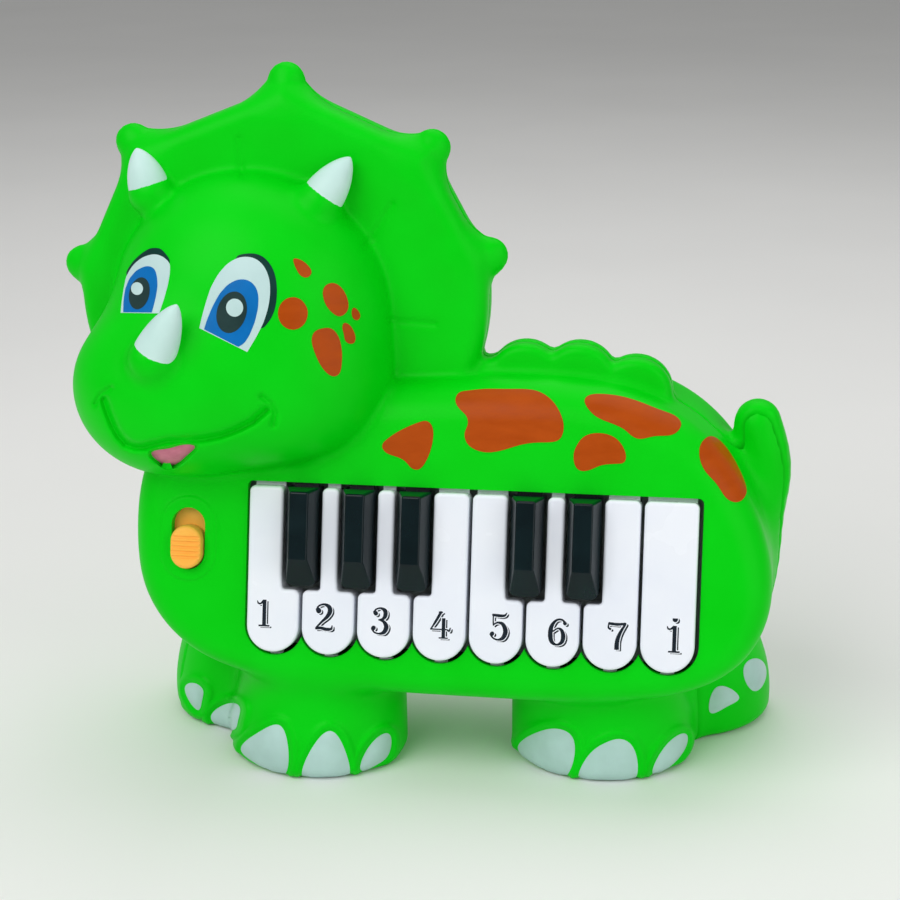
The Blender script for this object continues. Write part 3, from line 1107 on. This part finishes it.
DIGIT_HEIGHT = 7.4
DIGITS = (
    ("1", (264, 613), (((-0.02, 0.95, 0.05), (-0.13, 0.85, 0.035), (-0.22, 0.86, 0.035),
                        (-0.25, 0.94, 0.02)),),
     ((-0.06, 0.09, 0.03, 1.00), (-0.20, 0.22, 0.00, 0.07))),
    ("2", (324, 617), (((-0.20, 0.72, 0.10), (-0.21, 0.74, 0.10)),
                       ((-0.28, 0.76, 0.04), (-0.20, 0.90, 0.035), (0.00, 0.965, 0.045), (0.18, 0.88, 0.08),
                        (0.22, 0.72, 0.09), (0.12, 0.52, 0.07), (-0.08, 0.32, 0.045), (-0.26, 0.12, 0.04)),
                       ((-0.28, 0.07, 0.05), (-0.10, 0.09, 0.06), (0.10, 0.05, 0.065), (0.28, 0.08, 0.05),
                        (0.31, 0.20, 0.02))), ()),
    ("3", (380, 621), (((-0.16, 0.77, 0.085), (-0.17, 0.78, 0.085)),
                       ((-0.23, 0.82, 0.04), (-0.14, 0.93, 0.035), (0.02, 0.97, 0.04), (0.18, 0.88, 0.08),
                        (0.19, 0.70, 0.08), (0.10, 0.58, 0.05), (-0.04, 0.54, 0.03)),
                       ((-0.02, 0.54, 0.03), (0.14, 0.48, 0.06), (0.24, 0.30, 0.09), (0.16, 0.10, 0.075),
                        (-0.02, 0.035, 0.04), (-0.20, 0.08, 0.035), (-0.29, 0.20, 0.04)),
                       ((-0.23, 0.24, 0.085), (-0.24, 0.23, 0.085))), ()),
    ("4", (440, 625), (((0.02, 0.96, 0.055), (-0.14, 0.66, 0.05), (-0.32, 0.36, 0.03)),
                       ((-0.34, 0.34, 0.03), (0.26, 0.34, 0.03)),
                       ((0.26, 0.34, 0.03), (0.34, 0.30, 0.04), (0.38, 0.40, 0.025))),
     ((0.06, 0.20, 0.04, 0.76), (-0.04, 0.30, 0.00, 0.06), (-0.06, 0.10, 0.94, 1.00))),
    ("5", (499, 627), (((-0.22, 0.91, 0.03), (-0.21, 0.56, 0.03)),
                       ((-0.22, 0.93, 0.05), (0.04, 0.91, 0.06), (0.20, 0.93, 0.045), (0.27, 1.02, 0.02)),
                       ((-0.21, 0.57, 0.03), (-0.05, 0.66, 0.04), (0.14, 0.60, 0.07), (0.24, 0.36, 0.09),
                        (0.16, 0.12, 0.075), (-0.02, 0.035, 0.04), (-0.20, 0.09, 0.035), (-0.30, 0.22, 0.04)),
                       ((-0.24, 0.25, 0.08), (-0.25, 0.24, 0.08))), ()),
    ("6", (557, 632), (((0.30, 0.84, 0.04), (0.16, 0.95, 0.04), (-0.04, 0.92, 0.045), (-0.20, 0.70, 0.075),
                        (-0.24, 0.40, 0.09), (-0.18, 0.14, 0.075), (0.00, 0.04, 0.04), (0.18, 0.14, 0.07),
                        (0.23, 0.36, 0.085), (0.16, 0.57, 0.06), (0.02, 0.63, 0.035), (-0.14, 0.52, 0.03)),
                       ((0.28, 0.82, 0.07), (0.27, 0.83, 0.07))), ()),
    ("7", (617, 636), (((-0.28, 0.94, 0.055), (0.00, 0.92, 0.055), (0.28, 0.95, 0.05)),
                       ((-0.30, 0.95, 0.03), (-0.32, 0.80, 0.035), (-0.25, 0.74, 0.045)),
                       ((0.28, 0.92, 0.04), (0.12, 0.64, 0.06), (0.02, 0.36, 0.08), (0.00, 0.08, 0.09))),
     ((-0.09, 0.09, 0.00, 0.08),)),
    ("dotted_1", (674, 639), (((-0.02, 0.93, 0.05), (-0.13, 0.85, 0.035), (-0.22, 0.86, 0.035),
                               (-0.25, 0.94, 0.02)),
                              ((0.02, 1.20, 0.10), (0.02, 1.21, 0.10))),
     ((-0.06, 0.09, 0.03, 0.98), (-0.20, 0.22, 0.00, 0.07))))
INK_STEP = 0.085
INK_ACROSS = INK_STEP * np.arange(-42, 43)
INK_UP = INK_STEP * np.arange(-48, 66)
INK_IN = np.linspace(-0.1, 0.1, 9)
INK_THICKNESS = 0.12
INK_HEIGHTS = (0.02, 0.035, 0.05)
SHADOW_SHIFT = (0.075, -0.055)
SHADOW_GAP = 0.028


def stroke_distance(u, v, strokes, slabs):
    """Distance to a digit: nearest of the discs along its strokes and of its slabs."""
    far = np.full(np.broadcast(u, v).shape, 9.0)
    for stroke in strokes:
        s = np.asarray(stroke, float)
        at = np.linspace(0, len(s) - 1, 28 * (len(s) - 1))
        k = np.clip(at.astype(int), 0, len(s) - 2)
        p = [s[np.clip(k + d, 0, len(s) - 1)] for d in (-1, 0, 1, 2)]
        t = (at - k)[:, None]
        disc = p[1] + 0.5 * t * (p[2] - p[0] + t * (2 * p[0] - 5 * p[1] + 4 * p[2] - p[3]
                                                    + t * (3 * (p[1] - p[2]) + p[3] - p[0])))
        gap = np.hypot(u[..., None] - disc[:, 0], v[..., None] - disc[:, 1]) - disc[:, 2]
        far = np.minimum(far, gap.min(-1))
    for x0, x1, y0, y1 in slabs:
        side, rise = np.abs(u - (x0 + x1) / 2) - (x1 - x0) / 2, np.abs(v - (y0 + y1) / 2) - (y1 - y0) / 2
        far = np.minimum(far, np.maximum(side, rise))
    return far


def key_spot(place):
    """Deck coordinates on the keys' tops of a place on the photograph: where its sight line meets them."""
    out = np.array([0, -math.cos(DECK_TILT), math.sin(DECK_TILT)])
    face = deck_point(0.0, -KEY_RISE, 0.0)
    way = sight_lines(place)
    hit = EYE + way * ((face - EYE).dot(out) / way.dot(out))
    return hit[0] - DECK_PLACE[0], (hit - DECK_PLACE).dot([0, math.sin(DECK_TILT), math.cos(DECK_TILT)])


for number, (digit, place, strokes, slabs) in enumerate(DIGITS):
    middle_u, middle_v = key_spot(place)
    u, v = INK_ACROSS[:, None] / DIGIT_HEIGHT, INK_UP[None, :] / DIGIT_HEIGHT + 0.5
    plain = stroke_distance(u, v, strokes, slabs)
    shadow = stroke_distance(u - SHADOW_SHIFT[0], v - SHADOW_SHIFT[1], strokes, slabs)
    layers = (("shadow", shadow, INK, "black_plastic"),
              ("gap", plain - SHADOW_GAP, WHITE_ABS, "white_plastic"),
              ("digit", plain, INK, "black_plastic"))
    for (layer, flat, ink, slot), height in zip(layers, INK_HEIGHTS):
        slab = np.abs(INK_IN + height - INK_THICKNESS / 2) - INK_THICKNESS / 2
        field = np.maximum(flat[:, None, :] * DIGIT_HEIGHT, slab[None, :, None])
        points, faces = surface_net(field, (INK_ACROSS, INK_IN, INK_UP))
        points = deck_point(points[:, 0] + middle_u, points[:, 1] - KEY_RISE, points[:, 2] + middle_v)
        piece = bare_object("%s_%s" % (layer, digit), seat(points), faces)
        dress(piece, ink, "white_key_%d" % (number + 1))


# Stage, in metres

FLOOR_HALF = 3.0
FLOOR_DROP = 0.0002
LIGHT_AIM = np.array([0.0, 0.0, 0.09])
LAMPS = (("key_light", (-0.45, -0.75, 0.85), 0.9, 7.6), ("fill_light", (0.85, -0.55, 0.45), 0.9, 3.4),
         ("top_light", (0.1, 0.35, 1.0), 1.0, 4.1))
ROOM_LIGHT = 0.31


def flat_floor():
    """Pale floor: one large square just under the feet."""
    corners = [(x * FLOOR_HALF, y * FLOOR_HALF, -FLOOR_DROP) for x, y in ((-1, -1), (1, -1), (1, 1), (-1, 1))]
    piece = bare_object("floor", corners, [[0, 1, 2, 3]])
    paper = finish("matt_backdrop_paper", "#f2f2f0", "#eeeeec", 300, (0.8, 0.9), 3, 0.01)
    piece.data.materials.append(paper)


def stand(name, data, place, axes):
    """Object at a place, turned to three axes."""
    turn = np.eye(4)
    turn[:3, :3] = np.stack(axes, 1)
    turn[:3, 3] = place
    item = bpy.data.objects.new(name, data)
    item.matrix_world = Matrix(turn.tolist())
    bpy.context.scene.collection.objects.link(item)
    return item


def lamp(name, place, size, power):
    """Soft square light that faces the middle of the toy."""
    data = bpy.data.lights.new(name, "AREA")
    data.size = size
    data.energy = power
    way = LIGHT_AIM - place
    z = -way / np.linalg.norm(way)
    x = np.cross([0, 0, 1], z)
    x /= np.linalg.norm(x)
    stand(name, data, place, (x, np.cross(z, x), z))


def photo_camera():
    """Camera of the photograph, its axes from the same place, roll and focal length as the sight lines."""
    data = bpy.data.cameras.new("photo_camera")
    data.sensor_width = SENSOR
    data.lens = FOCAL * SENSOR / PHOTO_SIDE
    bpy.context.scene.camera = stand("photo_camera", data, seat(EYE), (RIGHT, UP, -AHEAD))


flat_floor()
photo_camera()
for row in LAMPS:
    lamp(*row)
world = bpy.data.worlds.new("studio")
world.use_nodes = True
backdrop = world.node_tree.nodes["Background"].inputs
backdrop["Color"].default_value = (1.0, 1.0, 1.0, 1.0)
backdrop["Strength"].default_value = ROOM_LIGHT
bpy.context.scene.world = world
bpy.context.scene.view_settings.view_transform = "Standard"
